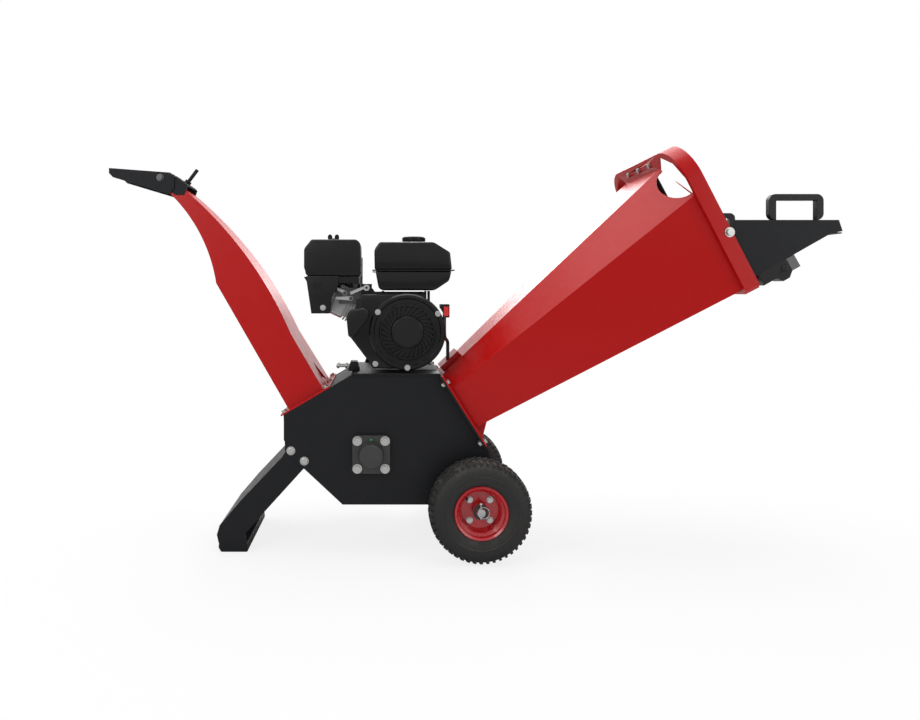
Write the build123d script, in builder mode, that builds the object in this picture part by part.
from build123d import *
import os
from math import atan2, cos, degrees, radians, sin, tan

# Petrol wood chipper, in millimetres. +X runs towards the feed tray, +Y away from the starter side,
# +Z up. The origin is on the ground, at the middle of the machine's length and width.

# ---------------------------------------------------------------- driving dimensions
# Rotor housing: two side plates, with sheet between them
housing_width = 300.0
plate = 5.0
sheet = 3.0
plate_top_z = 450.0
floor_z = 122.0
left_x = -447.0
left_top_z = 349.0
left_low_z = 259.0
leg_corner_x = -397.0
leg_corner_z = 215.0
floor_left_x = -297.0
discharge_slope = 30.6
infeed_head_x = -48.0
infeed_lean = 32.2
infeed_foot_z = 256.0
side_flange = 24.0
fit = 0.3

# Rotor and its bearings
rotor_x = -224.5
rotor_z = 251.0
shaft_r = 12.5
drum_r = 100.0
casing_gap = 14.0
bearing_square = 95.0
bearing_pitch = 70.0
bearing_depth = 26.0
rotor_pulley_r = 78.0

# Wheels
wheel_x = 42.0
tyre_r = 127.5
tyre_width = 84.0
rim_r = 60.0
wheel_track = 420.0
axle_r = 10.0
hub_half = 22.0

# Leg and foot
foot_left_x = -617.0
foot_right_x = -540.0
foot_height = 22.0

# Hopper
flange_length = 206.0
hopper_base_half = 146.0
hopper_base_side = 115.0
hopper_base_rise = 33.0
hopper_base_roof_half = 70.0
mouth_x = 674.0
mouth_z = 666.0
mouth_lean = 27.2
mouth_half = 238.0
mouth_side = 257.0
mouth_rise = 92.0
mouth_roof_half = 130.0
rim_depth = 38.0
rim_stand = 12.0
rim_head = 37.0
rim_corner_r = 90.0
hand_notch_half = 60.0
hand_notch_depth = 44.0

# Feed tray
tray_half = 235.0
tray_pivot_out = 30.6
tray_pivot_up = 140.6
tray_top_z = 836.0
tray_end_x = 909.0
tray_lip_x = 918.0
tray_lip_z = 803.0
tray_root_x = 706.0
tray_root_z = 699.0
tray_floor_end_x = 889.0
handle_left_x = 741.0
handle_right_x = 873.0
handle_top_z = 899.0
handle_thick = 18.0

# Discharge chute and its deflector
chute_base_half = 123.0
chute_top_half = 50.0
chute_front = 14.0
chute_depth = 102.0
deflector_pivot_x = -786.0
deflector_pivot_z = 965.0
deflector_half = 58.0

# Engine
deck = 5.0
crank_x = -133.0
crank_height = 105.0
crank_pulley_r = 50.0
recoil_r = 98.0
recoil_front_y = -165.0
shroud_back_y = -92.0

# ---------------------------------------------------------------- derived places
inner_half = housing_width / 2 - plate
outer_half = housing_width / 2
deck_z = plate_top_z + deck
crank_z = deck_z + crank_height
discharge_head_x = left_x + (plate_top_z - left_top_z) / tan(radians(discharge_slope))
infeed_foot_x = infeed_head_x + (plate_top_z - infeed_foot_z) * tan(radians(infeed_lean))
axle_z = tyre_r
base_height = hopper_base_side + hopper_base_rise
mouth_height = mouth_side + mouth_rise


def leaning_plane(x, z, lean):
    """A plane square to the XZ plane: local x runs along +Y, local y up the lean."""
    normal = (cos(radians(lean)), 0, sin(radians(lean)))
    return Plane(origin=(x, 0, z), x_dir=(0, 1, 0), z_dir=normal)


def along(start, angle, distance):
    """The point at a distance and angle from a start, in the XZ plane."""
    return (start[0] + distance * cos(radians(angle)), start[1] + distance * sin(radians(angle)))


def side_block(points, low_y, high_y):
    """A solid with a side outline in XZ, between two places across the machine."""
    with BuildPart() as block:
        with BuildSketch(Plane.XZ.offset(-high_y)):
            with BuildLine():
                Polyline(*points, close=True)
            make_face()
        extrude(amount=high_y - low_y)
    return block.part


def box_between(low, high):
    """A box from its lowest corner to its highest corner."""
    size = [h - l for l, h in zip(low, high)]
    with BuildPart(Plane(origin=low)) as block:
        Box(*size, align=(Align.MIN, Align.MIN, Align.MIN))
    return block.part


def bolt(shank_r, shank, head_r, head, washer_r=0.0, washer=0.0):
    """A hexagon bolt whose head stands up from z = 0 and whose shank goes down."""
    with BuildPart() as fastener:
        if washer_r:
            Cylinder(washer_r, washer, align=(Align.CENTER, Align.CENTER, Align.MIN))
        with BuildSketch(Plane.XY.offset(washer)):
            RegularPolygon(head_r, 6)
        extrude(amount=head)
        if shank:
            Cylinder(shank_r, shank, align=(Align.CENTER, Align.CENTER, Align.MAX))
    return fastener.part


def across(x, z, y, facing):
    """A plane at a place across the machine that faces -Y (facing -1) or +Y (facing 1)."""
    return Plane(origin=(x, y, z), x_dir=(1, 0, 0), z_dir=(0, facing, 0))


def upward(x, y, z):
    """A level plane that faces up."""
    return Plane(origin=(x, y, z))


def side_disc(x, z, radius, low_y, high_y):
    """A cylinder that lies across the machine."""
    with BuildPart() as disc:
        with BuildSketch(Plane.XZ.offset(-high_y)):
            with Locations((x, z)):
                Circle(radius)
        extrude(amount=high_y - low_y)
    return disc.part


# ---------------------------------------------------------------- rotor housing
outline = [
    (left_x, left_top_z),
    (discharge_head_x, plate_top_z),
    (infeed_head_x, plate_top_z),
    (infeed_foot_x, infeed_foot_z),
    (infeed_foot_x, axle_z - 2.5 * axle_r),
    (wheel_x - 3.2 * axle_r, axle_z - 2.5 * axle_r),
    (wheel_x - 6 * axle_r, floor_z),
    (floor_left_x, floor_z),
    (leg_corner_x, leg_corner_z),
    (left_x + 4, left_low_z),
]
bolt_r = 5.0
bearing_places = [
    (rotor_x + sx * bearing_pitch / 2, rotor_z + sz * bearing_pitch / 2)
    for sx in (-1, 1)
    for sz in (-1, 1)
]
leg_bolt_places = [(left_x + 19, left_low_z), (leg_corner_x + 3, leg_corner_z + 18)]
spigot_r = 28.0

infeed_face = leaning_plane(infeed_head_x, plate_top_z, infeed_lean)
infeed_bolt_drops = (22.0, flange_length - 10.0)
flange_top_drop = 12.0


def side_plate(facing):
    """One side plate, with a strip turned outwards along the infeed edge for the hopper flange."""
    low_y, high_y = sorted((facing * outer_half, facing * inner_half))
    with BuildPart() as piece:
        add(side_block(outline, low_y, high_y))
        with BuildSketch(infeed_face.offset(-plate)):
            with Locations((facing * (inner_half + side_flange / 2 + plate / 2), -flange_length / 2)):
                Rectangle(side_flange + plate, flange_length)
        extrude(amount=plate)
        holes = [(rotor_x, rotor_z, spigot_r + fit), (wheel_x, axle_z, axle_r + fit)]
        holes += [(x, z, bolt_r + fit) for x, z in bearing_places + leg_bolt_places]
        for x, z, radius in holes:
            add(side_disc(x, z, radius, low_y - 1, high_y + 1), mode=Mode.SUBTRACT)
        with BuildSketch(infeed_face.offset(-plate - 1)):
            for drop in infeed_bolt_drops:
                with Locations((facing * (outer_half + side_flange / 2), -drop)):
                    Circle(bolt_r + fit)
        extrude(amount=plate + 2, mode=Mode.SUBTRACT)
    return piece.part


with BuildPart() as near_side_plate:
    add(side_plate(-1))
with BuildPart() as far_side_plate:
    add(side_plate(1))

# Sheet between the plates: left wall and discharge slope, with the discharge opening
discharge_plane = Plane(
    origin=(left_x, 0, left_top_z),
    x_dir=(0, 1, 0),
    z_dir=(-sin(radians(discharge_slope)), 0, cos(radians(discharge_slope))),
)
opening_start = chute_front + sheet
opening_end = chute_front + chute_depth - sheet
opening_half = chute_base_half - 2 * sheet
with BuildPart() as discharge_wall:
    with BuildSketch(Plane.XZ):
        with BuildLine():
            Polyline(
                (left_x + sheet / 2, left_low_z + 24),
                (left_x + sheet / 2, left_top_z - sheet / 2),
                (discharge_head_x + sheet, plate_top_z - sheet / 2),
            )
        trace(line_width=sheet)
    extrude(amount=inner_half, both=True)
    with BuildSketch(discharge_plane.offset(-20)):
        with Locations((0, -(opening_start + opening_end) / 2)):
            Rectangle(2 * opening_half, opening_end - opening_start)
    extrude(amount=40, mode=Mode.SUBTRACT)

# Curved casing round the rotor, from the infeed lip round below to the discharge
casing_r = drum_r + casing_gap
casing_angle_right = 2.0
casing_angle_left = 172.0
rotor_centre = (rotor_x, rotor_z)
casing_lip = along(rotor_centre, casing_angle_right, casing_r)
casing_tail = along(rotor_centre, casing_angle_left, casing_r)
infeed_floor_drop = flange_top_drop + base_height + 12
infeed_floor = (
    infeed_head_x + infeed_floor_drop * sin(radians(infeed_lean)) - 2 * plate,
    plate_top_z - infeed_floor_drop * cos(radians(infeed_lean)),
)
anvil_thick = 10.0
anvil_reach = 46.0
with BuildPart() as rotor_casing:
    with BuildSketch(Plane.XZ):
        with BuildLine():
            lead_in = Line(infeed_floor, (casing_lip[0] + sheet, casing_lip[1] + sheet))
            Line(lead_in @ 1, casing_lip)
            sweep_angle = 360 - (casing_angle_left - casing_angle_right)
            CenterArc(rotor_centre, casing_r, casing_angle_right, -sweep_angle)
            Line(casing_tail, (left_x + 16, left_top_z - 22))
        trace(line_width=sheet)
    extrude(amount=inner_half, both=True)

# Anvil: the fixed counter blade on the infeed floor, just clear of the knives
anvil_gap = 3.0
knife_stand = 6.0
anvil_edge_x = rotor_x + drum_r + knife_stand + anvil_gap
floor_rise = (infeed_floor[1] - casing_lip[1]) / (infeed_floor[0] - casing_lip[0])
anvil_low_z = casing_lip[1] + (anvil_edge_x + anvil_reach - casing_lip[0]) * floor_rise + 2 * sheet
with BuildPart() as anvil:
    add(
        box_between(
            (anvil_edge_x, -inner_half + fit, anvil_low_z),
            (anvil_edge_x + anvil_reach, inner_half - fit, anvil_low_z + anvil_thick),
        )
    )

# Engine deck on top of the plates
deck_overhang = 6.0
engine_bolt_places = [(crank_x + sx * 70, sy * 38) for sx in (-1, 1) for sy in (-1, 1)]
with BuildPart() as engine_deck:
    add(
        box_between(
            (discharge_head_x + 2, -outer_half - deck_overhang, plate_top_z),
            (infeed_head_x - 2, outer_half, deck_z),
        )
    )
    with BuildSketch(Plane.XY.offset(plate_top_z - 1)):
        with Locations(*engine_bolt_places):
            Circle(4 + fit)
    extrude(amount=deck + 2, mode=Mode.SUBTRACT)

# ---------------------------------------------------------------- leg and foot
leg_half = inner_half - fit / 3
leg_profile = [
    (left_x + 8, left_low_z + 2),
    (left_x + 42, left_low_z + 37),
    (leg_corner_x + 42, leg_corner_z + 40),
    (leg_corner_x - 2, leg_corner_z - 6),
    (foot_right_x + 43, 101),
    (foot_right_x - 5, 46),
    (foot_right_x, foot_height),
    (foot_left_x + 5, foot_height),
    (foot_left_x, 44),
    (foot_left_x + 7, 68),
    (left_x - 111, 129),
    (left_x - 3, left_low_z - 16),
]
leg_sheet = 4.0
with BuildPart() as leg:
    for facing in (-1, 1):
        low_y, high_y = sorted((facing * leg_half, facing * (leg_half - leg_sheet)))
        add(side_block(leg_profile, low_y, high_y))
    with BuildSketch(Plane.XZ):
        with BuildLine():
            Polyline(
                (left_x - 3 + 2, left_low_z - 18),
                (left_x - 111 + 2, 129 - 1),
                (foot_left_x + 7 + 2, 68 - 1),
                (foot_left_x + 2, 44),
                (foot_left_x + 7, foot_height + 2),
            )
        trace(line_width=leg_sheet)
    extrude(amount=leg_half, both=True)
    for x, z in leg_bolt_places:
        add(side_disc(x, z, bolt_r + fit, -outer_half, outer_half), mode=Mode.SUBTRACT)

with BuildPart() as foot_pad:
    add(side_block(
        [
            (foot_left_x + 11, 0),
            (foot_left_x + 4, foot_height / 2),
            (foot_left_x + 5, foot_height),
            (foot_right_x, foot_height),
            (foot_right_x + 2, 4),
            (foot_right_x, 0),
        ],
        -leg_half,
        leg_half,
    ))

# ---------------------------------------------------------------- axle
axle_half = wheel_track / 2 + 34
with BuildPart() as wheel_axle:
    add(side_disc(wheel_x, axle_z, axle_r, -axle_half, axle_half))
    for facing in (-1, 1):
        collar_end = wheel_track / 2 - hub_half - fit
        low_y, high_y = sorted((facing * (outer_half + 0.1), facing * collar_end))
        add(side_disc(wheel_x, axle_z, axle_r + 5, low_y, high_y))
        pin_y = facing * (axle_half - 8)
        with BuildSketch(Plane(origin=(wheel_x, pin_y, axle_z - 20), z_dir=(0, 0, 1))):
            Circle(2.2)
        extrude(amount=40, mode=Mode.SUBTRACT)

# Linch pins with wire rings through the axle ends
pin_head = Sphere(4.5)
with BuildPart() as axle_pins:
    for facing in (-1, 1):
        pin_y = facing * (axle_half - 8)
        with BuildSketch(Plane(origin=(wheel_x, pin_y, axle_z - 17), z_dir=(0, 0, 1))):
            Circle(2.0)
        extrude(amount=34)
        add(Pos(wheel_x, pin_y, axle_z + 20) * pin_head)

# ---------------------------------------------------------------- wheels
wheels = {}
hub_bolt_circle = 35.0
hub_r = 16.0
for side_name, facing in (("near", -1), ("far", 1)):
    centre_y = facing * wheel_track / 2
    axis = Plane(origin=(wheel_x, centre_y, axle_z), x_dir=(1, 0, 0), z_dir=(0, facing, 0))
    # local x is the radius and local y runs outwards along the axle
    section = Plane(origin=(wheel_x, centre_y, axle_z), x_dir=(1, 0, 0), z_dir=(0, 0, -facing))
    spin_axis = Axis((wheel_x, centre_y, axle_z), (0, facing, 0))
    half = tyre_width / 2
    with BuildPart() as tyre:
        with BuildSketch(section):
            with BuildLine():
                Polyline(
                    (rim_r + 0.5, -half + 14),
                    (rim_r + 8, -half + 6),
                    (rim_r + 26, -half),
                    (tyre_r - 22, -half + 2),
                    (tyre_r - 6, -half + 14),
                )
                ThreePointArc((tyre_r - 6, -half + 14), (tyre_r, 0), (tyre_r - 6, half - 14))
                Polyline(
                    (tyre_r - 6, half - 14),
                    (tyre_r - 22, half - 2),
                    (rim_r + 26, half),
                    (rim_r + 8, half - 6),
                    (rim_r + 0.5, half - 14),
                    (rim_r + 0.5, -half + 14),
                )
            make_face()
        revolve(axis=spin_axis)
    dish = [
        (hub_r - 1, 1.5),
        (rim_r - 14, 1.5),
        (rim_r - 8, half - 20),
        (rim_r - 1.4, half - 14),
        (rim_r + 0.5, half - 7),
        (rim_r + 5, half - 4),
    ]
    with BuildPart() as wheel_rim:
        for flip in (-1, 1):
            with BuildSketch(section):
                with BuildLine():
                    Polyline(*[(radius, flip * place) for radius, place in dish])
                trace(line_width=sheet)
            revolve(axis=spin_axis)
        with BuildSketch(section):
            with Locations(((axle_r + 0.05 + hub_r) / 2, 0)):
                Rectangle(hub_r - axle_r - 0.05, 2 * hub_half)
        revolve(axis=spin_axis)
        with BuildSketch(axis.offset(-10)):
            with PolarLocations(hub_bolt_circle, 4, start_angle=45):
                Circle(4 + fit)
        extrude(amount=20, mode=Mode.SUBTRACT)
    disc_face = axis.offset(sheet)
    with BuildPart() as hub_bolts:
        with Locations(disc_face):
            with PolarLocations(hub_bolt_circle, 4, start_angle=45):
                add(bolt(4, 2 * sheet, 6.5, 5, 8, 1.5))
    wheels[side_name] = (tyre, wheel_rim, hub_bolts)

# ---------------------------------------------------------------- rotor bearings
bearing_bolt_reach = plate + 6
with BuildPart() as bearing_housings:
    for facing in (-1, 1):
        face = across(rotor_x, rotor_z, facing * outer_half, facing)
        with BuildSketch(face):
            RectangleRounded(bearing_square, bearing_square, 12)
            with GridLocations(bearing_pitch, bearing_pitch, 2, 2):
                Circle(bolt_r + fit, mode=Mode.SUBTRACT)
        extrude(amount=12)
        with BuildSketch(face.offset(12)):
            Circle(33)
        extrude(amount=bearing_depth - 12, taper=8)
        with BuildSketch(face):
            Circle(shaft_r + 0.05)
        extrude(amount=bearing_depth + 1, mode=Mode.SUBTRACT)

cap_clear = 8.0
with BuildPart() as bearing_cap:
    cap_face = across(rotor_x, rotor_z, -outer_half - bearing_depth, -1)
    with BuildSketch(cap_face):
        Circle(29)
        Circle(25, mode=Mode.SUBTRACT)
    extrude(amount=cap_clear)
    with BuildSketch(cap_face.offset(cap_clear)):
        Circle(29)
    extrude(amount=2)
    fillet(bearing_cap.faces().sort_by(Axis.Y)[0].edges(), 1.5)

with BuildPart() as bearing_bolts:
    for facing in (-1, 1):
        for x, z in bearing_places:
            place = across(x, z, facing * (outer_half + 12), facing)
            add(place.location * bolt(bolt_r, 12 + bearing_bolt_reach, 9, 7, 12, 2))


def dome_bolt():
    """A coach bolt with a low domed head on a flat washer."""
    with BuildPart() as fastener:
        Cylinder(11, 2, align=(Align.CENTER, Align.CENTER, Align.MIN))
        with BuildSketch(Plane.XY.offset(2)):
            Circle(9)
        extrude(amount=4)
        fillet(fastener.faces().sort_by(Axis.Z)[-1].edges(), 3)
        Cylinder(bolt_r, plate + 10, align=(Align.CENTER, Align.CENTER, Align.MAX))
    return fastener.part


with BuildPart() as leg_bolts:
    for facing in (-1, 1):
        for x, z in leg_bolt_places:
            add(across(x, z, facing * outer_half, facing).location * dome_bolt())

# ---------------------------------------------------------------- rotor: drum, knives and shaft
shaft_far_y = outer_half + bearing_depth + 44
drum_half = inner_half - 12
knife_length = 2 * drum_half - 10
drum_end = 12.0
cavity_r = 64.0
sleeve_r = 22.0
with BuildPart() as rotor_drum:
    add(side_disc(rotor_x, rotor_z, drum_r, -drum_half, drum_half))
    cavity_half = drum_half - drum_end
    add(side_disc(rotor_x, rotor_z, cavity_r, -cavity_half, cavity_half), mode=Mode.SUBTRACT)
    add(side_disc(rotor_x, rotor_z, sleeve_r, -drum_half, drum_half))
    with BuildSketch(Plane.XZ):
        with Locations((rotor_x, rotor_z)):
            with PolarLocations((cavity_r + sleeve_r) / 2, 4):
                Circle(14)
    extrude(amount=drum_half + 1, both=True, mode=Mode.SUBTRACT)
    add(side_disc(rotor_x, rotor_z, shaft_r, -outer_half - bearing_depth - 4, shaft_far_y))
    for angle in (60, 240):
        seat = Plane(
            origin=(rotor_x, 0, rotor_z),
            x_dir=(cos(radians(angle)), 0, sin(radians(angle))),
            z_dir=(0, -1, 0),
        )
        with BuildSketch(seat):
            with Locations((drum_r - 12, 16)):
                Rectangle(40, 32)
        extrude(amount=drum_half + 1, both=True, mode=Mode.SUBTRACT)

with BuildPart() as rotor_knives:
    for angle in (60, 240):
        seat = Plane(
            origin=(rotor_x, 0, rotor_z),
            x_dir=(cos(radians(angle)), 0, sin(radians(angle))),
            z_dir=(0, -1, 0),
        )
        with BuildSketch(seat):
            with BuildLine():
                Polyline(
                    (drum_r - 31, 0),
                    (drum_r + knife_stand, 0),
                    (drum_r - 4, 10),
                    (drum_r - 31, 10),
                    close=True,
                )
            make_face()
        extrude(amount=knife_length / 2, both=True)

pulley_y = outer_half + bearing_depth + 24
pulley_half = 11.0
groove = 8.0


def vee_pulley(x, z, radius, bore):
    """A pulley with one vee groove, turned about its shaft."""
    with BuildPart() as pulley:
        with BuildSketch(Plane(origin=(x, pulley_y, z), x_dir=(1, 0, 0), z_dir=(0, 0, -1))):
            with BuildLine():
                Polyline(
                    (bore, -pulley_half),
                    (radius, -pulley_half),
                    (radius, -7),
                    (radius - groove, -4),
                    (radius - groove, 4),
                    (radius, 7),
                    (radius, pulley_half),
                    (bore, pulley_half),
                    close=True,
                )
            make_face()
        revolve(axis=Axis((x, pulley_y, z), (0, 1, 0)))
    return pulley.part


with BuildPart() as rotor_pulley:
    add(vee_pulley(rotor_x, rotor_z, rotor_pulley_r, shaft_r + 0.05))
with BuildPart() as clutch_pulley:
    add(vee_pulley(crank_x, crank_z, crank_pulley_r, shaft_r + 0.05))

# Belt round both pulleys, a loop that rides in their grooves
belt_clear = 0.6
belt_thick = 6.0


def belt_loop(extra):
    """The outline of the belt's loop, a distance out from the groove bottoms."""
    small = crank_pulley_r - groove + belt_clear + extra
    large = rotor_pulley_r - groove + belt_clear + extra
    with BuildSketch(Plane.XZ.offset(-pulley_y - 3.5)) as loop:
        with Locations((crank_x, crank_z)):
            Circle(small)
        with Locations((rotor_x, rotor_z)):
            Circle(large)
        make_hull()
    return loop.sketch


with BuildPart() as drive_belt:
    extrude(belt_loop(belt_thick), amount=7)
    extrude(belt_loop(0), amount=7, mode=Mode.SUBTRACT)

# Belt guard: a closed cover bolted to the far plate
guard_low_y = outer_half
guard_high_y = shaft_far_y + 10
guard_clear = 16.0


def guard_outline(y, extra):
    """The belt guard's outline at a place across the machine, offset inwards or outwards."""
    with BuildSketch(Plane.XZ.offset(-y)) as shape:
        with Locations((crank_x, crank_z)):
            Circle(crank_pulley_r + guard_clear + extra)
        with Locations((rotor_x, rotor_z)):
            Circle(rotor_pulley_r + guard_clear + extra)
        make_hull()
    return shape.sketch


with BuildPart() as belt_guard:
    extrude(guard_outline(guard_high_y, 0), amount=guard_high_y - guard_low_y)
    extrude(guard_outline(guard_high_y - sheet, -sheet), amount=guard_high_y, mode=Mode.SUBTRACT)

# ---------------------------------------------------------------- hopper
base_origin_drop = flange_top_drop + base_height
base_bottom = (
    infeed_head_x + base_origin_drop * sin(radians(infeed_lean)),
    plate_top_z - base_origin_drop * cos(radians(infeed_lean)),
)
hopper_base = leaning_plane(*base_bottom, infeed_lean).offset(sheet + 1)
mouth_plane = leaning_plane(mouth_x, mouth_z, mouth_lean)


def hopper_section(place, half, side, rise, roof_half, inset):
    """The hopper's six-sided section on a plane, drawn in from the outside by an inset."""
    with BuildSketch(place) as section_face:
        with BuildLine():
            Polyline(
                (-half, 0),
                (half, 0),
                (half, side),
                (roof_half, side + rise),
                (-roof_half, side + rise),
                (-half, side),
                close=True,
            )
        make_face()
        if inset:
            offset(amount=-inset, kind=Kind.INTERSECTION)
    return section_face.sketch


base_sizes = (hopper_base_half, hopper_base_side, hopper_base_rise, hopper_base_roof_half)
mouth_sizes = (mouth_half, mouth_side, mouth_rise, mouth_roof_half)
with BuildPart() as hopper:
    for inset, mode in ((0, Mode.ADD), (sheet, Mode.SUBTRACT)):
        ends = [
            hopper_section(hopper_base, *base_sizes, inset),
            hopper_section(mouth_plane, *mouth_sizes, inset),
        ]
        loft(ends, ruled=True, mode=mode)
    for side in (-1, 1):
        crease = mouth_plane.from_local_coords((side * mouth_half, mouth_side, 0))
        ridge = mouth_plane.from_local_coords((side * mouth_roof_half, mouth_height, 0))
        root = hopper_base.from_local_coords((side * hopper_base_half, hopper_base_side, 0))
        edge = (Vector(ridge) - Vector(crease)).normalized()
        normal = edge.cross(Vector(root) - Vector(crease)).normalized()
        middle = (Vector(crease) + Vector(ridge)) * 0.5
        with BuildSketch(Plane(origin=middle, x_dir=edge, z_dir=normal).offset(-20)):
            Ellipse(hand_notch_half, hand_notch_depth)
        extrude(amount=40, mode=Mode.SUBTRACT)

with BuildPart() as hopper_flange:
    with BuildSketch(infeed_face):
        with Locations((0, -flange_top_drop - flange_length / 2 + 10)):
            Rectangle(2 * (outer_half + side_flange), flange_length)
    extrude(amount=sheet + 1)
    window = hopper_section(leaning_plane(*base_bottom, infeed_lean), *base_sizes, sheet)
    extrude(window, amount=sheet + 1, mode=Mode.SUBTRACT)
    with BuildSketch(infeed_face):
        for side in (-1, 1):
            for bolt_drop in infeed_bolt_drops:
                with Locations((side * (outer_half + side_flange / 2), -bolt_drop)):
                    Circle(bolt_r + fit)
    extrude(amount=sheet + 1, mode=Mode.SUBTRACT)

with BuildPart() as hopper_bolts:
    for side in (-1, 1):
        for bolt_drop in infeed_bolt_drops:
            local = (side * (outer_half + side_flange / 2), -bolt_drop, sheet + 1)
            seat = Plane(origin=infeed_face.from_local_coords(local), z_dir=infeed_face.z_dir)
            add(seat.location * bolt(bolt_r, plate + sheet + 8, 8, 6))
            nut_seat = Plane(
                origin=infeed_face.from_local_coords((local[0], local[1], -plate)),
                z_dir=-infeed_face.z_dir,
            )
            add(nut_seat.location * bolt(bolt_r, 0, 8, 6))

with BuildPart() as hopper_strut:
    for side in (-1, 1):
        y = side * (hopper_base_half - 34)
        low_y, high_y = sorted((y, y + side * 4))
        foot = along(base_bottom, infeed_lean - 90, 6)
        foot = along(foot, infeed_lean, sheet + 1)
        add(side_block(
            [foot, along(foot, infeed_lean - 90, 34), along(foot, infeed_lean, 36)],
            low_y,
            high_y,
        ))

# Mouth collar: a folded band round the hopper's mouth, arched over its upper corners
rim_half = mouth_half + rim_stand
rim_top = mouth_height + rim_head


def rim_outline(place, inset):
    """The collar's outline, rounded at the top corners and clipped at the bottom ones."""
    with BuildSketch(place) as shape:
        with BuildLine():
            low = -rim_stand + inset
            high = rim_top - inset
            half = rim_half - inset
            round_r = rim_corner_r - inset
            clip = 9
            Line((-half + clip, low), (half - clip, low))
            Line((half - clip, low), (half, low + clip))
            Line((half, low + clip), (half, high - round_r))
            CenterArc((half - round_r, high - round_r), round_r, 0, 90)
            Line((half - round_r, high), (-half + round_r, high))
            CenterArc((-half + round_r, high - round_r), round_r, 90, 90)
            Line((-half, high - round_r), (-half, low + clip))
            Line((-half, low + clip), (-half + clip, low))
        make_face()
    return shape.sketch


rim_lip = 11.0
curtain_bolt_places = [(y, mouth_height + rim_head / 2) for y in (-80, 0, 80)]
with BuildPart() as mouth_rim:
    extrude(rim_outline(mouth_plane, 0), amount=rim_depth)
    extrude(rim_outline(mouth_plane.offset(sheet), sheet), amount=rim_depth, mode=Mode.SUBTRACT)
    mouth_window = hopper_section(mouth_plane.offset(-1), *mouth_sizes, sheet)
    extrude(mouth_window, amount=sheet + 2, mode=Mode.SUBTRACT)
    for side in (-1, 1):
        with BuildSketch(mouth_plane.offset(-1)):
            with BuildLine():
                Polyline(
                    (side * (mouth_half - sheet), mouth_side + 4),
                    (side * (rim_half - rim_lip), mouth_side + 12),
                    (side * (rim_half - rim_lip), mouth_side + 46),
                    (side * (rim_half - 38), rim_top - 38),
                    (side * (mouth_roof_half + 30), rim_top - rim_lip),
                    (side * (mouth_roof_half + 4), mouth_height),
                    (side * (mouth_roof_half - sheet), mouth_height - 2 * sheet),
                    close=True,
                )
            make_face()
        extrude(amount=sheet + 2, mode=Mode.SUBTRACT)
    with BuildSketch(mouth_plane.offset(-1)):
        with Locations(*curtain_bolt_places):
            Circle(3 + fit)
    extrude(amount=sheet + 2, mode=Mode.SUBTRACT)
    tray_pivot = mouth_plane.from_local_coords((0, tray_pivot_up, tray_pivot_out))
    pivot_x = tray_pivot.X
    pivot_z = tray_pivot.Z
    add(side_disc(pivot_x, pivot_z, bolt_r + fit, -rim_half - 1, rim_half + 1), mode=Mode.SUBTRACT)

# Rubber curtain inside the mouth, under its clamp strip
curtain_half = 205.0
with BuildPart() as curtain:
    with BuildSketch(mouth_plane.offset(sheet + 0.2)):
        with BuildLine():
            Polyline(
                (-curtain_half, 112),
                (curtain_half, 112),
                (curtain_half, mouth_side),
                (118, mouth_height + rim_head - 10),
                (-118, mouth_height + rim_head - 10),
                (-curtain_half, mouth_side),
                close=True,
            )
        make_face()
        with Locations(*curtain_bolt_places):
            Circle(3 + fit, mode=Mode.SUBTRACT)
    extrude(amount=3)
with BuildPart() as curtain_clamp:
    with BuildSketch(mouth_plane.offset(sheet + 3.2)):
        with Locations((0, mouth_height + rim_head / 2)):
            RectangleRounded(210, 24, 4)
        with Locations(*curtain_bolt_places):
            Circle(3 + fit, mode=Mode.SUBTRACT)
    extrude(amount=3)
with BuildPart() as curtain_bolts:
    for y, up in curtain_bolt_places:
        seat = Plane(
            origin=mouth_plane.from_local_coords((y, up, 0)),
            z_dir=-mouth_plane.z_dir,
        )
        add(seat.location * bolt(3, 12, 7, 4, 8, 1))

# Cover bracket on the hopper roof at its foot, where the switch lead runs in
roof_foot = hopper_base.from_local_coords((0, base_height, 0))
roof_head = mouth_plane.from_local_coords((0, mouth_height, 0))
roof_run = (Vector(roof_head) - Vector(roof_foot)).normalized()
roof_plane = Plane(origin=roof_foot, x_dir=roof_run, z_dir=Vector(roof_run).cross(Vector(0, 1, 0)))
bracket_high = 14.0
bracket_length = 64.0
with BuildPart() as roof_bracket:
    with BuildSketch(roof_plane.offset(fit)):
        with Locations((10 + bracket_length / 2, 0)):
            RectangleRounded(bracket_length, 96, 3)
    extrude(amount=bracket_high)
    with BuildSketch(roof_plane.offset(fit)):
        with Locations((10 + bracket_length / 2, 0)):
            Rectangle(bracket_length - 2 * sheet, 96 - 2 * sheet)
    extrude(amount=bracket_high - sheet, mode=Mode.SUBTRACT)

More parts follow.
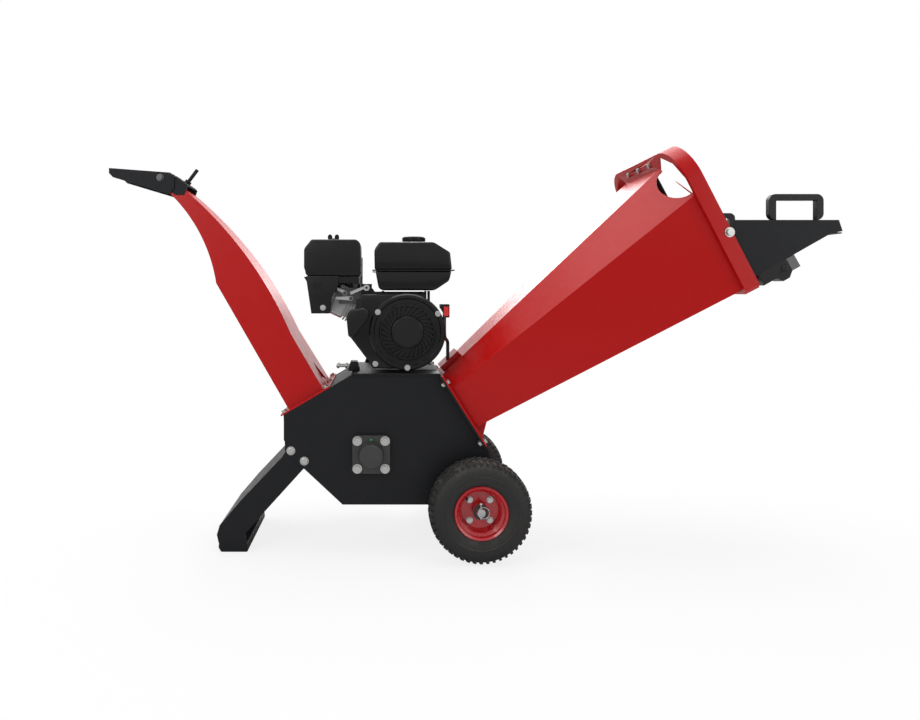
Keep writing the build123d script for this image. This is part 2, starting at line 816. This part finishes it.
# ---------------------------------------------------------------- feed tray, folds up about its pivots
tray_sheet = 3.0
tray_profile = [
    (tray_root_x - 16, tray_root_z + 12),
    (pivot_x + 18, pivot_z - 14),
    (pivot_x + 16, tray_top_z),
    (tray_end_x, tray_top_z),
    (tray_lip_x, tray_lip_z + 6),
    (tray_floor_end_x, tray_lip_z),
    (tray_root_x, tray_root_z),
]
top_flange = 20.0
with BuildPart() as feed_tray:
    for side in (-1, 1):
        low_y, high_y = sorted((side * tray_half, side * (tray_half - tray_sheet)))
        add(side_block(tray_profile, low_y, high_y))
        add(side_disc(pivot_x, pivot_z, 20, low_y, high_y))
        flange_low, flange_high = sorted((side * tray_half, side * (tray_half - top_flange)))
        add(
            box_between(
                (pivot_x + 42, flange_low, tray_top_z - tray_sheet),
                (tray_end_x, flange_high, tray_top_z),
            )
        )
    with BuildSketch(Plane.XZ):
        with BuildLine():
            Polyline(
                (tray_root_x, tray_root_z + tray_sheet / 2),
                (tray_floor_end_x, tray_lip_z + tray_sheet / 2),
                (tray_lip_x - 2, tray_lip_z + tray_sheet / 2),
            )
        trace(line_width=tray_sheet)
    extrude(amount=tray_half, both=True)
    add(side_disc(pivot_x, pivot_z, bolt_r + 0.05, -rim_half, rim_half), mode=Mode.SUBTRACT)

# Pivot bolts through the collar, each with a spacer between collar and tray
with BuildPart() as tray_pivot_bolts:
    for side in (-1, 1):
        place = across(pivot_x, pivot_z, side * rim_half, side)
        add(place.location * bolt(bolt_r, rim_half - tray_half + tray_sheet + 6, 9, 6, 12, 2))
        low_y, high_y = sorted((side * (rim_half - sheet), side * (tray_half + fit)))
        add(side_disc(pivot_x, pivot_z, bolt_r + 4, low_y, high_y))

handle_leg = 17.0
handle_bar = 15.0
handle_y = tray_half - top_flange / 2
handle_mid_x = (handle_left_x + handle_right_x) / 2
handle_span = handle_right_x - handle_left_x
handle_high = handle_top_z - tray_top_z
handle_bolt_places = [
    (handle_mid_x + end * (handle_span - handle_leg) / 2, side * handle_y)
    for end in (-1, 1)
    for side in (-1, 1)
]
with BuildPart() as tray_handles:
    for side in (-1, 1):
        with BuildSketch(Plane.XZ.offset(-side * handle_y - handle_thick / 2)) as grip:
            with Locations((handle_mid_x, tray_top_z + handle_high / 2)):
                Rectangle(handle_span, handle_high)
            fillet(grip.vertices().group_by(Axis.Z)[-1], 16)
            with Locations((handle_mid_x, tray_top_z + (handle_high - handle_bar) / 2 - 1)):
                Rectangle(handle_span - 2 * handle_leg, handle_high - handle_bar + 2, mode=Mode.SUBTRACT)
        extrude(amount=handle_thick)
with BuildPart() as handle_bolts:
    for x, y in handle_bolt_places:
        place = Plane(origin=(x, y, tray_top_z - tray_sheet), z_dir=(0, 0, -1))
        add(place.location * bolt(3.5, 0, 5.5, 4, 6.5, 1.5))

# Safety switch and its bracket under the tray floor, near side
tray_slope = Plane(
    origin=(tray_root_x, 0, tray_root_z),
    x_dir=(tray_floor_end_x - tray_root_x, 0, tray_lip_z - tray_root_z),
    z_dir=(0, -1, 0),
)
switch_low_y = -tray_half
switch_wide = 46.0
with BuildPart() as switch_bracket:
    with BuildSketch(tray_slope.offset(-switch_low_y - switch_wide)):
        with BuildLine():
            Polyline((8, -0.3), (8, -30), (44, -30), (54, -44), (72, -44), (86, -32), (86, -0.3), close=True)
        make_face()
    extrude(amount=switch_wide)
    with BuildSketch(tray_slope.offset(-switch_low_y)):
        with Locations((74, -16)):
            Circle(9)
            Circle(6.5, mode=Mode.SUBTRACT)
    extrude(amount=1.5)
with BuildPart() as safety_switch:
    with BuildSketch(tray_slope.offset(-switch_low_y - switch_wide)):
        with Locations((86.2 + 11, -16.4)):
            Rectangle(22, 32)
    extrude(amount=switch_wide)

# ---------------------------------------------------------------- discharge chute
chute_foot_low = along((left_x, left_top_z), discharge_slope, chute_front)
chute_foot_high = along((left_x, left_top_z), discharge_slope, chute_front + chute_depth)
chute_foot_low = along(chute_foot_low, discharge_slope + 90, sheet + 1)
chute_foot_high = along(chute_foot_high, discharge_slope + 90, sheet + 1)
chute_knee = (-632.0, 684.0)
chute_lower_bend = (-668.0, 795.0)
chute_mouth_low = (-761.0, 923.0)
chute_mouth_high = (-750.0, 956.0)
chute_upper_bend = (-580.0, 789.0)
chute_back_start = (-434.0, 552.0)


def chute_profile():
    """The chute's side outline, from its foot up to its mouth."""
    with BuildSketch(Plane.XZ) as shape:
        with BuildLine():
            Line(chute_foot_low, chute_knee)
            ThreePointArc(chute_knee, chute_lower_bend, chute_mouth_low)
            Line(chute_mouth_low, chute_mouth_high)
            ThreePointArc(chute_mouth_high, chute_upper_bend, chute_back_start)
            Line(chute_back_start, chute_foot_high)
            Line(chute_foot_high, chute_foot_low)
        make_face()
    return shape.sketch


def taper_plane(side):
    """The plane of one chute side, which leans in towards the top."""
    foot = Vector(0, side * chute_base_half, chute_foot_low[1])
    head = Vector(0, side * chute_top_half, chute_mouth_high[1])
    rise = (head - foot).normalized()
    outward = Vector(0, side * rise.Z, -side * rise.Y)
    return Plane(origin=foot, x_dir=(1, 0, 0), z_dir=outward)


def chute_solid(grow):
    """The chute as a solid, grown or shrunk by a distance on every side."""
    with BuildPart() as solid:
        with BuildSketch(Plane.XZ):
            add(chute_profile())
            if grow:
                offset(amount=grow, kind=Kind.INTERSECTION)
        extrude(amount=chute_base_half + 20, both=True)
        for side in (-1, 1):
            split(bisect_by=taper_plane(side).offset(grow), keep=Keep.BOTTOM)
    return solid.part


chute_sheet = 2.0
foot_angle = degrees(atan2(chute_foot_low[1] - chute_knee[1], chute_foot_low[0] - chute_knee[0]))
foot_run = along((0, 0), foot_angle, 1)
mouth_run = along((0, 0), 161.6, 1)
with BuildPart() as chute:
    add(chute_solid(0))
    for run, distance in ((foot_run, 0), (foot_run, 5), (mouth_run, 6)):
        shift = Pos(run[0] * distance, 0, run[1] * distance)
        add(shift * chute_solid(-chute_sheet), mode=Mode.SUBTRACT)

with BuildPart() as chute_flange:
    with BuildSketch(discharge_plane):
        with Locations((0, -(chute_front + chute_depth / 2))):
            Rectangle(2 * outer_half, chute_depth + 2 * chute_front + 14)
            Rectangle(2 * (chute_base_half - 3), chute_depth - 6, mode=Mode.SUBTRACT)
    extrude(amount=sheet + 1)

chute_bolt_runs = (chute_front - 10.5, chute_front + chute_depth + 10.5)
with BuildPart() as chute_bolts:
    for y in (-outer_half + 16, 0, outer_half - 16):
        for run in chute_bolt_runs:
            seat = Plane(
                origin=discharge_plane.from_local_coords((y, -run, sheet + 1)),
                z_dir=discharge_plane.z_dir,
            )
            add(seat.location * bolt(4, 0, 7, 5, 9, 1.5))

# Saddle on the chute's top, with the two ears that carry the deflector
ear_thick = 4.0
ear_half = deflector_half - 3 - fit
with BuildPart() as deflector_saddle:
    for side in (-1, 1):
        low_y, high_y = sorted((side * ear_half, side * (ear_half - ear_thick)))
        add(side_block(
            [
                (deflector_pivot_x - 12, deflector_pivot_z - 10),
                (deflector_pivot_x - 10, deflector_pivot_z + 7),
                (chute_mouth_high[0] + 6, chute_mouth_high[1] + 12),
                (chute_mouth_high[0] + 36, chute_mouth_high[1] - 12),
                (chute_mouth_high[0] + 22, chute_mouth_high[1] - 50),
                (chute_mouth_low[0] + 4, chute_mouth_low[1] + 4),
            ],
            low_y,
            high_y,
        ))
        stud_hole = side_disc(deflector_pivot_x, deflector_pivot_z, 4 + fit, low_y - 1, high_y + 1)
        add(stud_hole, mode=Mode.SUBTRACT)
    add(chute_solid(0.1), mode=Mode.SUBTRACT)

deflector_outline = [
    (-922.5, 990.5),
    (-922.5, 977.0),
    (-912.0, 966.0),
    (chute_mouth_low[0] - 1, chute_mouth_low[1] - 2),
    (-749.6, 937.0),
    (-749.6, 972.0),
    (-792.0, 981.0),
]
with BuildPart() as deflector:
    for side in (-1, 1):
        low_y, high_y = sorted((side * deflector_half, side * (deflector_half - 3)))
        add(side_block(deflector_outline, low_y, high_y))
    with BuildSketch(Plane.XZ):
        with BuildLine():
            Polyline((-921, 980), (-921, 989), (-792, 979.5), (-760, 977))
        trace(line_width=sheet)
    extrude(amount=deflector_half, both=True)
    add(
        side_disc(deflector_pivot_x, deflector_pivot_z, 4.05, -deflector_half - 1, deflector_half + 1),
        mode=Mode.SUBTRACT,
    )
with BuildPart() as deflector_bolts:
    for side in (-1, 1):
        place = across(deflector_pivot_x, deflector_pivot_z, side * (deflector_half + 0.1), side)
        add(place.location * bolt(4, 12, 8, 5, 10, 1.5))

# Clamp lever that locks the deflector, on a stud at the back of the saddle
lever_plane = Plane(
    origin=(chute_mouth_high[0] + 22, 0, chute_mouth_high[1] + 3),
    x_dir=(0, 1, 0),
    z_dir=(0.6, 0, 0.8),
)
with BuildPart() as clamp_bridge:
    with BuildSketch(lever_plane.offset(-6)):
        Rectangle(2 * (ear_half - ear_thick), 34)
        Circle(4 + fit, mode=Mode.SUBTRACT)
    extrude(amount=4)
with BuildPart() as clamp_lever:
    with BuildSketch(lever_plane.offset(-1.7)):
        Circle(9)
    extrude(amount=8)
    with BuildSketch(lever_plane.offset(-8)):
        Circle(4)
    extrude(amount=10)
    with BuildSketch(lever_plane.offset(5)):
        Circle(5)
    extrude(amount=40)

# ---------------------------------------------------------------- engine
foot_rail = 12.0
foot_half = 82.0
sump_half = 58.0
sump_height = 30.0
case_half = 76.0
case_r = 82.0
with BuildPart() as crankcase:
    add(box_between((crank_x - foot_half, -62, deck_z), (crank_x + foot_half, 62, deck_z + foot_rail)))
    sump_top = deck_z + sump_height
    add(box_between((crank_x - sump_half, -78, deck_z + 4), (crank_x + sump_half, 92, sump_top)))
    add(box_between((crank_x - case_half, -78, sump_top), (crank_x + case_half, 92, crank_z + 62)))
    add(side_disc(crank_x, crank_z, case_r, -78, 96))
    with BuildSketch(Plane.XY.offset(deck_z - 1)):
        with Locations(*engine_bolt_places):
            Circle(4 + fit)
    extrude(amount=foot_rail + 2, mode=Mode.SUBTRACT)
    with BuildSketch(Plane.XZ.offset(-100)):
        with Locations((crank_x, crank_z)):
            Circle(shaft_r + 0.05)
    extrude(amount=200, mode=Mode.SUBTRACT)

with BuildPart() as engine_bolts:
    for x, y in engine_bolt_places:
        add(upward(x, y, deck_z + foot_rail).location * bolt(4, foot_rail + deck + 4, 7, 5.5, 9, 1.5))

cylinder_lean = 155.0
fin_half = 50.0
head_half = 49.0
fin_count = 10
head_start = 172.0
head_deep = 34.0
cover_deep = 20.0
cylinder_plane = Plane(
    origin=(crank_x, 0, crank_z),
    x_dir=(0, 1, 0),
    z_dir=(cos(radians(cylinder_lean)), 0, sin(radians(cylinder_lean))),
)
with BuildPart() as cylinder:
    with BuildSketch(cylinder_plane.offset(60)):
        Rectangle(80, 78)
    extrude(amount=head_start - 60)
    for fin in range(fin_count):
        with BuildSketch(cylinder_plane.offset(92 + fin * 8)):
            RectangleRounded(2 * fin_half, 96, 12)
        extrude(amount=3)
    with BuildSketch(cylinder_plane.offset(head_start)):
        RectangleRounded(2 * head_half, 92, 10)
    extrude(amount=head_deep)
    with BuildSketch(cylinder_plane.offset(head_start + head_deep)):
        RectangleRounded(70, 66, 10)
    extrude(amount=cover_deep)
    case_space = box_between(
        (crank_x - case_half - 0.1, -90, deck_z),
        (crank_x + case_half, 90, crank_z + 62.1),
    )
    add(case_space, mode=Mode.SUBTRACT)
    add(side_disc(crank_x, crank_z, case_r + 0.1, -100, 100), mode=Mode.SUBTRACT)

shroud_outline_left = -300.0
with BuildPart() as blower_housing:
    with BuildSketch(Plane.XZ.offset(-shroud_back_y + 0.2)) as shroud:
        with Locations((crank_x, crank_z)):
            Circle(recoil_r + 6)
        with BuildLine():
            Polyline(
                (crank_x, crank_z - 90),
                (crank_x - 96, crank_z - 58),
                (shroud_outline_left + 14, crank_z - 2),
                (shroud_outline_left + 6, crank_z + 62),
                (crank_x - 40, crank_z + 92),
                close=True,
            )
        make_face()
    extrude(amount=-recoil_front_y + shroud_back_y - 26)
    with BuildSketch(Plane.XZ.offset(-shroud_back_y)):
        with Locations((crank_x, crank_z)):
            Circle(recoil_r - 8)
    extrude(amount=60, mode=Mode.SUBTRACT)

recoil_plane = across(crank_x, crank_z, recoil_front_y + 26 - 0.2, -1)
with BuildPart() as recoil_cover:
    with BuildSketch(recoil_plane):
        Circle(recoil_r)
    extrude(amount=22)
    fillet(recoil_cover.faces().sort_by(Axis.Y)[0].edges(), 8)
    with BuildSketch(recoil_plane):
        Circle(recoil_r - 4)
    extrude(amount=19, mode=Mode.SUBTRACT)
    with BuildSketch(recoil_plane.offset(10)):
        with PolarLocations(62, 24):
            SlotOverall(20, 5, rotation=25)
    extrude(amount=14, mode=Mode.SUBTRACT)
    with BuildSketch(recoil_plane.offset(0)):
        with Locations((-recoil_r + 6, 30)):
            Rectangle(26, 30)
    extrude(amount=16, mode=Mode.SUBTRACT)
with BuildPart() as recoil_hub:
    with BuildSketch(recoil_plane.offset(22.1)):
        Circle(37)
    extrude(amount=4)
    fillet(recoil_hub.faces().sort_by(Axis.Y)[0].edges(), 2)

# Starter grip on its cord stub, resting in a guide at the shroud's upper left
grip_x = crank_x - 111
grip_z = crank_z + 26
with BuildPart() as starter_grip:
    with BuildSketch(Plane.YZ.offset(grip_x - 4)) as grip_face:
        with Locations((recoil_front_y + 12, grip_z)):
            RectangleRounded(17, 50, 7)
    extrude(amount=-18)
guide_deep = 22.6
guide_y = recoil_front_y + 26 - 0.3 - guide_deep / 2
with BuildPart() as grip_guide:
    with BuildSketch(Plane.YZ.offset(grip_x - 3.7)):
        with Locations((guide_y, grip_z)):
            RectangleRounded(guide_deep, 26, 6)
            Circle(3.5, mode=Mode.SUBTRACT)
    extrude(amount=13)

# Fuel tank on its brackets, with the filler cap
tank_left = -217.0
tank_right = -15.0
tank_low_z = 664.0
tank_high_z = 790.0
tank_near_y = -132.0
tank_far_y = 112.0
seam_z = 717.0
with BuildPart() as fuel_tank:
    add(side_block(
        [
            (tank_left, seam_z),
            (tank_left, tank_high_z - 10),
            (tank_left + 10, tank_high_z),
            (tank_right - 34, tank_high_z),
            (tank_right, tank_high_z - 26),
            (tank_right, seam_z),
        ],
        tank_near_y,
        tank_far_y,
    ))
    fillet(fuel_tank.edges().filter_by(Axis.Z), 16)
    add(box_between((tank_left + 8, tank_near_y + 6, tank_low_z), (tank_right - 8, tank_far_y - 6, seam_z)))
    add(box_between((tank_left - 6, tank_near_y - 6, seam_z - 3), (tank_right + 6, tank_far_y + 6, seam_z)))
cap_x = -110.0
cap_y = -10.0
neck_r = 20.0
tank_wall = 2.0
with fuel_tank:
    add(
        box_between(
            (tank_left + 12, tank_near_y + 10, tank_low_z + tank_wall),
            (tank_right - 36, tank_far_y - 10, tank_high_z - tank_wall),
        ),
        mode=Mode.SUBTRACT,
    )
    with BuildSketch(Plane.XY.offset(tank_high_z - 10)):
        with Locations((cap_x, cap_y)):
            Circle(neck_r - tank_wall)
    extrude(amount=20, mode=Mode.SUBTRACT)
with BuildPart() as filler_neck:
    with BuildSketch(Plane.XY.offset(tank_high_z)):
        with Locations((cap_x, cap_y)):
            Circle(neck_r)
            Circle(neck_r - tank_wall, mode=Mode.SUBTRACT)
    extrude(amount=6)
with BuildPart() as fuel_cap:
    with BuildSketch(Plane.XY.offset(tank_high_z + 6.2)):
        with Locations((cap_x, cap_y)):
            Circle(25)
            with PolarLocations(25, 3, start_angle=30):
                Circle(5)
    extrude(amount=14)
    fillet(fuel_cap.faces().sort_by(Axis.Z)[-1].edges(), 1.5)
with BuildPart() as tank_brackets:
    for y in (-74, 66):
        add(box_between((tank_left + 20, y - 9, crank_z + 62), (tank_left + 26, y + 9, tank_low_z)))
        add(box_between((crank_x + 56, y - 9, crank_z + 62), (crank_x + 62, y + 9, tank_low_z)))

# Air cleaner: a flat base and a tall cover held by a wing nut
cleaner_left = -398.0
cleaner_right = -256.0
cleaner_near_y = -134.0
cleaner_far_y = 6.0
cleaner_low_z = 606.0
cleaner_split_z = 700.0
cleaner_high_z = 794.0
with BuildPart() as air_cleaner_cover:
    add(side_block(
        [
            (cleaner_left, cleaner_split_z + 0.2),
            (cleaner_left + 3, cleaner_high_z - 18),
            (cleaner_left + 20, cleaner_high_z),
            (cleaner_right - 4, cleaner_high_z),
            (cleaner_right, cleaner_high_z - 5),
            (cleaner_right, cleaner_split_z + 0.2),
        ],
        cleaner_near_y,
        cleaner_far_y,
    ))
    fillet(air_cleaner_cover.edges().filter_by(Axis.Z), 6)
    add(
        box_between(
            (cleaner_left + 6, cleaner_near_y + 5, cleaner_split_z),
            (cleaner_right - 5, cleaner_far_y - 5, cleaner_high_z - 22),
        ),
        mode=Mode.SUBTRACT,
    )
with BuildPart() as air_cleaner_base:
    add(side_block(
        [
            (cleaner_left + 1, cleaner_split_z),
            (cleaner_right, cleaner_split_z),
            (cleaner_right, cleaner_split_z - 16),
            (cleaner_left + 66, cleaner_split_z - 16),
            (cleaner_left + 66, cleaner_low_z),
            (cleaner_left + 20, cleaner_low_z),
            (cleaner_left + 8, cleaner_split_z - 12),
        ],
        cleaner_near_y + 2,
        cleaner_near_y + 78,
    ))
with BuildPart() as wing_nut:
    with BuildSketch(Plane.XY.offset(cleaner_high_z + 0.1)):
        with Locations((cleaner_left + 74, cleaner_near_y + 50)):
            Circle(7)
    extrude(amount=7)
    with BuildSketch(Plane.XZ.offset(-cleaner_near_y - 50 - 2)):
        with Locations((cleaner_left + 74, cleaner_high_z + 10)):
            with Locations((-9, 0), (9, 0)):
                Ellipse(6, 8)
    extrude(amount=4)

# Carburettor between the air cleaner and the shroud, with its levers
carb_x = -268.0
with BuildPart() as carburettor:
    add(box_between((carb_x - 42, -86, crank_z + 70), (carb_x + 30, -fin_half - fit, crank_z + 112)))
    with BuildSketch(Plane.XY.offset(crank_z + 112)):
        with Locations((carb_x, -71)):
            Circle(14)
    extrude(amount=cleaner_split_z - 16 - crank_z - 112 - 0.1)
lever_y = -90.0
with BuildPart() as choke_lever:
    add(side_disc(carb_x - 26, crank_z + 98, 6, lever_y - 3, lever_y))
    add(side_block(
        [
            (carb_x - 30, crank_z + 98),
            (carb_x - 55, crank_z + 109),
            (carb_x - 53, crank_z + 116),
            (carb_x - 24, crank_z + 104),
        ],
        lever_y - 3,
        lever_y,
    ))
with BuildPart() as fuel_lever:
    add(side_disc(carb_x - 10, crank_z + 84, 6, lever_y - 3, lever_y))
    add(side_block(
        [
            (carb_x - 12, crank_z + 79),
            (carb_x - 50, crank_z + 82),
            (carb_x - 50, crank_z + 88),
            (carb_x - 10, crank_z + 90),
        ],
        lever_y - 3,
        lever_y,
    ))
lever_pin_places = ((choke_lever, carb_x - 26, crank_z + 98), (fuel_lever, carb_x - 10, crank_z + 84))
lever_pin_r = 3.0
for lever, x, z in lever_pin_places:
    with lever:
        add(side_disc(x, z, lever_pin_r + 0.05, lever_y - 10, lever_y + 10), mode=Mode.SUBTRACT)
with BuildPart() as lever_pins:
    for lever, x, z in lever_pin_places:
        add(side_disc(x, z, lever_pin_r, lever_y - 5.2, -86))
        add(side_disc(x, z, lever_pin_r + 2, lever_y - 5.2, lever_y - 3.2))

# Throttle lever above the shroud, swings along the tank
throttle_x = crank_x - 104
throttle_z = crank_z + 112
with BuildPart() as throttle_bracket:
    add(box_between((throttle_x - 14, -110, crank_z + 80), (throttle_x + 14, -106, throttle_z + 10)))
    add(box_between((throttle_x - 14, -106, crank_z + 80), (throttle_x + 14, -93, crank_z + 84)))
    add(side_disc(throttle_x, throttle_z, 3, -118, -106))
with BuildPart() as throttle_lever:
    add(side_disc(throttle_x, throttle_z, 8, -114, -110.2))
    add(side_block(
        [
            (throttle_x - 4, throttle_z - 2),
            (throttle_x - 40, throttle_z - 18),
            (throttle_x - 43, throttle_z - 11),
            (throttle_x - 2, throttle_z + 6),
        ],
        -114,
        -110.2,
    ))
    add(side_disc(throttle_x, throttle_z, 3.05, -120, -100), mode=Mode.SUBTRACT)

# Muffler on the far side of the cylinder head, with its heat shield
muffler_low = (-366.0, fin_half + fit, 640.0)
muffler_high = (-256.0, 124.0, 756.0)
with BuildPart() as muffler:
    add(box_between(muffler_low, muffler_high))
    fillet(muffler.edges().filter_by(Axis.Y), 22)
    with BuildSketch(Plane.YZ.offset(muffler_low[0] + 6)):
        with Locations((96, 742)):
            Circle(11)
    extrude(amount=-26)
    add(
        box_between(
            (muffler_low[0] + 8, muffler_low[1] + 3, muffler_low[2] + 8),
            (muffler_high[0] - 8, muffler_high[1] - 3, muffler_high[2] - 8),
        ),
        mode=Mode.SUBTRACT,
    )
    with BuildSketch(Plane.YZ.offset(muffler_low[0] + 10)):
        with Locations((96, 742)):
            Circle(8)
    extrude(amount=-40, mode=Mode.SUBTRACT)
shield_gap = 7.0
with BuildPart() as muffler_shield:
    add(
        box_between(
            (muffler_low[0] - 2, muffler_high[1] + shield_gap, muffler_low[2] + 4),
            (muffler_high[0] + 4, muffler_high[1] + shield_gap + 2, muffler_high[2] + 4),
        )
    )
    with BuildSketch(Plane.XZ.offset(-muffler_high[1] - shield_gap - 3)):
        with Locations(((muffler_low[0] + muffler_high[0]) / 2, 708)):
            with GridLocations(18, 30, 5, 2):
                SlotOverall(20, 7, rotation=90)
    extrude(amount=4, mode=Mode.SUBTRACT)
    add(
        box_between(
            (muffler_low[0] + 30, muffler_high[1] + 0.1, 700),
            (muffler_low[0] + 42, muffler_high[1] + shield_gap, 712),
        )
    )

plug_seat = cylinder_plane.from_local_coords((-14, 0, head_start + head_deep + cover_deep))
with BuildPart() as spark_plug_cap:
    with BuildSketch(Plane(origin=plug_seat, z_dir=cylinder_plane.z_dir)):
        Circle(9)
    extrude(amount=24)
    with BuildSketch(Plane(origin=plug_seat, z_dir=cylinder_plane.z_dir).offset(24)):
        RectangleRounded(20, 34, 8)
    extrude(amount=14)

# Oil fillers on the crankcase, one each side of the shaft
with BuildPart() as oil_caps:
    for side in (-1, 1):
        place = Plane(
            origin=(crank_x + side * (case_half + 0.1), 30, deck_z + 62),
            z_dir=(side, 0, 0.0),
        )
        with BuildSketch(place):
            Circle(12)
        extrude(amount=12)

# Ignition switch box on the shroud's right shoulder, with its rocker
switch_x = crank_x + 96
switch_z = crank_z + 52
with BuildPart() as ignition_box:
    add(box_between((switch_x - 12, -142, switch_z - 16), (switch_x + 12, -112, switch_z + 18)))
    add(side_disc(crank_x, crank_z, recoil_r + 6.2, -150, -90), mode=Mode.SUBTRACT)
rocker_pivot_y = -142.3
rocker_half = 12.0
rocker_thick = 3.0
rocker_throw = 3.4
with BuildPart() as ignition_rocker:
    with BuildSketch(Plane.YZ.offset(switch_x - 3)):
        with BuildLine():
            Polyline(
                (rocker_pivot_y, switch_z + rocker_half),
                (rocker_pivot_y, switch_z),
                (rocker_pivot_y - rocker_throw, switch_z - rocker_half),
                (rocker_pivot_y - rocker_throw - rocker_thick, switch_z - rocker_half),
                (rocker_pivot_y - rocker_thick, switch_z + rocker_half),
                close=True,
            )
        make_face()
    extrude(amount=12)

# Crankshaft: its stub comes out on the far side and carries the clutch pulley
with BuildPart() as crankshaft:
    add(side_disc(crank_x, crank_z, shaft_r, -110, pulley_y - pulley_half - 0.2))
    add(side_disc(crank_x, crank_z, shaft_r - 0.2, pulley_y - pulley_half - 0.2, guard_high_y - sheet - 4))

# Switch lead: from the ignition box down to the roof bracket, clipped at both ends
lead_r = 4.5
roof_entry = roof_plane.from_local_coords((40, -30, bracket_high + fit))
lead_y = shroud_back_y + 2 * lead_r
lead_points = [
    (switch_x + 4, -111.5, switch_z - 4),
    (switch_x + 4, lead_y, switch_z - 4),
    (switch_x + 4, lead_y, switch_z - 70),
    (roof_entry.X, roof_entry.Y, roof_entry.Z + 48),
    (roof_entry.X, roof_entry.Y, roof_entry.Z - 4),
]
with roof_bracket:
    with BuildSketch(Plane.XY.offset(roof_entry.Z - 10)):
        with Locations((roof_entry.X, roof_entry.Y)):
            Circle(lead_r + 0.5)
    extrude(amount=30, mode=Mode.SUBTRACT)
with BuildPart() as switch_lead:
    with BuildLine() as lead_route:
        FilletPolyline(*lead_points, radius=[9, 22, 16])
    with BuildSketch(Plane(origin=lead_route.wire() @ 0, z_dir=lead_route.wire() % 0)):
        Circle(lead_r)
    sweep(path=lead_route.wire())

# ---------------------------------------------------------------- shared nodes
def together(*parts):
    """Separate solids of one node."""
    with BuildPart() as group:
        for part in parts:
            add(part.part)
    return group


# ---------------------------------------------------------------- export
pieces = {
    "near_side_plate": near_side_plate,
    "far_side_plate": far_side_plate,
    "discharge_wall": discharge_wall,
    "rotor_casing": rotor_casing,
    "anvil": anvil,
    "engine_deck": engine_deck,
    "leg": leg,
    "foot_pad": foot_pad,
    "wheel_axle": wheel_axle,
    "axle_pins": axle_pins,
    "bearing_housings": together(bearing_housings, bearing_cap),
    "frame_bolts": together(bearing_bolts, leg_bolts, engine_bolts),
    "sheet_bolts": together(hopper_bolts, chute_bolts, curtain_bolts, wing_nut),
    "pivot_bolts": together(tray_pivot_bolts, deflector_bolts),
    "rotor_drum": rotor_drum,
    "rotor_knives": rotor_knives,
    "rotor_pulley": rotor_pulley,
    "crankshaft": crankshaft,
    "clutch_pulley": clutch_pulley,
    "drive_belt": drive_belt,
    "belt_guard": belt_guard,
    "hopper": hopper,
    "hopper_flange": together(hopper_flange, hopper_strut),
    "mouth_rim": mouth_rim,
    "curtain": curtain,
    "curtain_clamp": curtain_clamp,
    "roof_bracket": roof_bracket,
    "feed_tray": feed_tray,
    "tray_handles": tray_handles,
    "handle_bolts": handle_bolts,
    "tray_switch": together(switch_bracket, safety_switch),
    "chute": chute,
    "chute_flange": chute_flange,
    "deflector_saddle": together(deflector_saddle, clamp_bridge),
    "deflector": deflector,
    "clamp_lever": clamp_lever,
    "crankcase": crankcase,
    "cylinder": cylinder,
    "blower_housing": together(blower_housing, grip_guide),
    "recoil_cover": together(recoil_cover, recoil_hub),
    "starter_grip": starter_grip,
    "fuel_tank": together(fuel_tank, filler_neck),
    "fuel_cap": fuel_cap,
    "engine_brackets": together(tank_brackets, throttle_bracket),
    "air_cleaner_cover": air_cleaner_cover,
    "air_cleaner_base": air_cleaner_base,
    "carburettor": together(carburettor, lever_pins),
    "choke_lever": choke_lever,
    "fuel_lever": fuel_lever,
    "throttle_lever": throttle_lever,
    "muffler": together(muffler, muffler_shield),
    "engine_fittings": together(spark_plug_cap, oil_caps, ignition_box),
    "ignition_rocker": ignition_rocker,
    "switch_lead": switch_lead,
}
for side_name, (tyre, wheel_rim, hub_bolts) in wheels.items():
    pieces[f"{side_name}_tyre"] = tyre
    pieces[f"{side_name}_rim"] = wheel_rim
    pieces[f"{side_name}_hub_bolts"] = hub_bolts
os.makedirs("parts", exist_ok=True)
for label, piece in pieces.items():
    piece.part.label = label
    export_step(piece.part, f"parts/{label}.step")
print(len(pieces), "nodes written")
